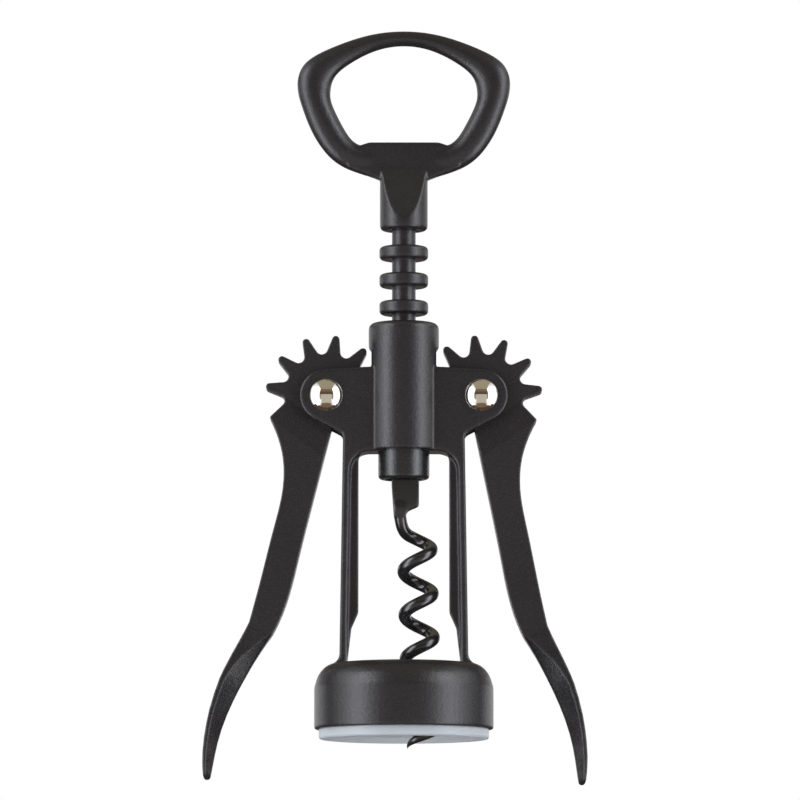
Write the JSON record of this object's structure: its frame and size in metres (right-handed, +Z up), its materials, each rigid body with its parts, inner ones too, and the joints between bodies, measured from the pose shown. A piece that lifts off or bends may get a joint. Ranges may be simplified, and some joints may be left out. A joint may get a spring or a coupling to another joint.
{
  "type": "wing corkscrew",
  "caption": "Wing corkscrew in black-coated die-cast metal: two geared lever arms drive a round rack with a wire worm through a bell frame; the handle is a crown-cap opener loop.",
  "frame": {"origin": "centre of the bottle's mouth opening in the bell, on the spindle's axis, in the plane of the neck guide's lower rim", "axes": "+Z up along the spindle towards the handle; the levers lie in the XZ plane, left lever at -X; the domed rivet heads face -Y, the front"},
  "size_m": [0.0917, 0.0428, 0.1821],
  "materials": {
    "black_coating": "satin powder coat with a fine texture",
    "worm_coating": "smooth low-friction coating, semi-gloss",
    "bush_plastic": "satin",
    "neck_plastic": "satin",
    "rivet_nickel": "polished nickel",
    "pin_steel": "bright steel"
  },
  "bodies": {
    "frame": {"frame_casting": "black_coating", "neck_guide": "neck_plastic", "left_pivot_pin": "rivet_nickel", "right_pivot_pin": "rivet_nickel", "left_pivot_cap": "rivet_nickel", "right_pivot_cap": "rivet_nickel"},
    "bush": {"guide_bush": "bush_plastic"},
    "spindle": {"rack_spindle": "black_coating", "worm": "worm_coating", "worm_pin": "pin_steel", "opener_handle": "black_coating"},
    "left_arm": {"left_lever": "black_coating"},
    "right_arm": {"right_lever": "black_coating"}
  },
  "joints": [
    {"name": "spindle_slide", "type": "slide", "parent": "frame", "child": "bush", "axis": [0, 0, -1], "range_m": [0, 0.031]},
    {"name": "spindle_turn", "type": "hinge", "parent": "bush", "child": "spindle", "pos_m": [0, 0, 0.0693], "axis": [0, 0, 1], "continuous": true},
    {"name": "left_arm_swing", "type": "hinge", "parent": "frame", "child": "left_arm", "pos_m": [-0.01855, 0, 0.0821], "axis": [0, 1, 0], "range_deg": [0, 140.4]},
    {"name": "right_arm_swing", "type": "hinge", "parent": "frame", "child": "right_arm", "pos_m": [0.01855, 0, 0.0821], "axis": [0, -1, 0], "range_deg": [0, 140.4]}
  ],
  "couplings": [
    {"joint": "left_arm_swing", "follows": "spindle_slide", "rad_per_m": 78.903},
    {"joint": "right_arm_swing", "follows": "spindle_slide", "rad_per_m": 78.903}
  ]
}
